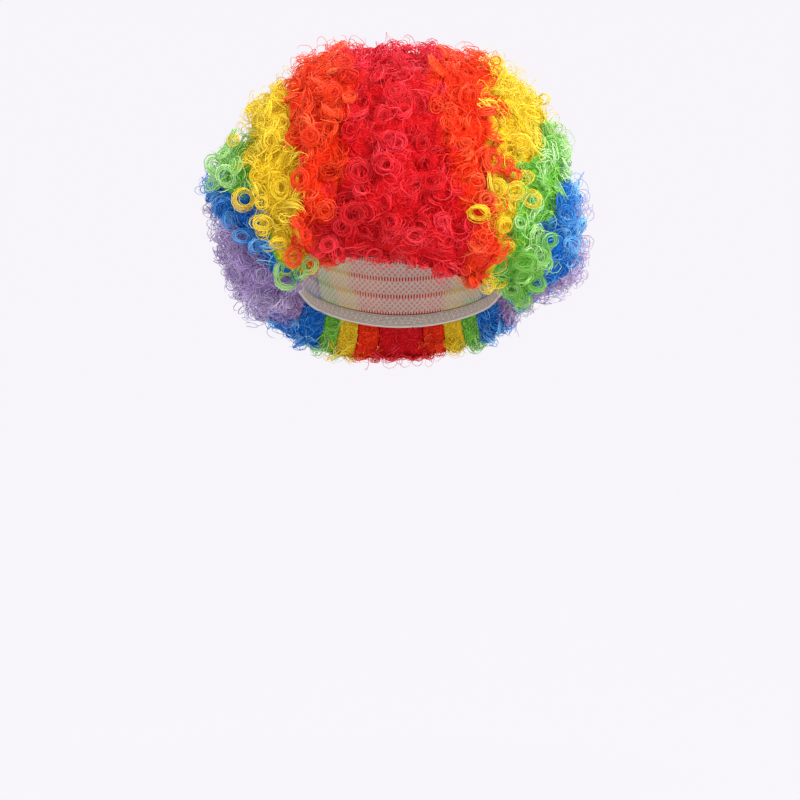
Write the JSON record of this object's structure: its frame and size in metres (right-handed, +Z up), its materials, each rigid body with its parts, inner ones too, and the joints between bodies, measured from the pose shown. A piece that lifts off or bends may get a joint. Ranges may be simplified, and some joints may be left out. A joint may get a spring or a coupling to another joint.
{
  "type": "curly rainbow clown wig",
  "caption": "Bushy curly wig in rainbow stripes that run from forehead to nape, on a thin stretch cap with an elastic edge band.",
  "frame": {"origin": "inside of the cap at the crown, where the top of the head bears", "axes": "+Z up, out of the crown; -Y the way the face looks; +X to the right of someone who looks at the face"},
  "size_m": [0.271, 0.2886, 0.229],
  "materials": {
    "cap_net": "soft stretch net in a light neutral, with weft tracks in the stripe colours",
    "elastic_band": "ribbed woven elastic with a zigzag seam",
    "red_curls": "glossy synthetic fibre in tight ringlets",
    "orange_curls": "glossy synthetic fibre in tight ringlets",
    "yellow_curls": "glossy synthetic fibre in tight ringlets",
    "green_curls": "glossy synthetic fibre in tight ringlets",
    "blue_curls": "glossy synthetic fibre in tight ringlets",
    "purple_curls": "fine, soft synthetic fibre in frizzy ringlets"
  },
  "bodies": {
    "root": {"cap_crown": "cap_net", "cap_front": "cap_net", "cap_right": "cap_net", "cap_back": "cap_net", "cap_left": "cap_net", "edge_band": "elastic_band", "red_hair": "red_curls", "orange_hair_left": "orange_curls", "yellow_hair_left": "yellow_curls", "green_hair_left": "green_curls", "blue_hair_left": "blue_curls", "purple_hair_left": "purple_curls", "orange_hair_right": "orange_curls", "yellow_hair_right": "yellow_curls", "green_hair_right": "green_curls", "blue_hair_right": "blue_curls", "purple_hair_right": "purple_curls"}
  },
  "joints": []
}
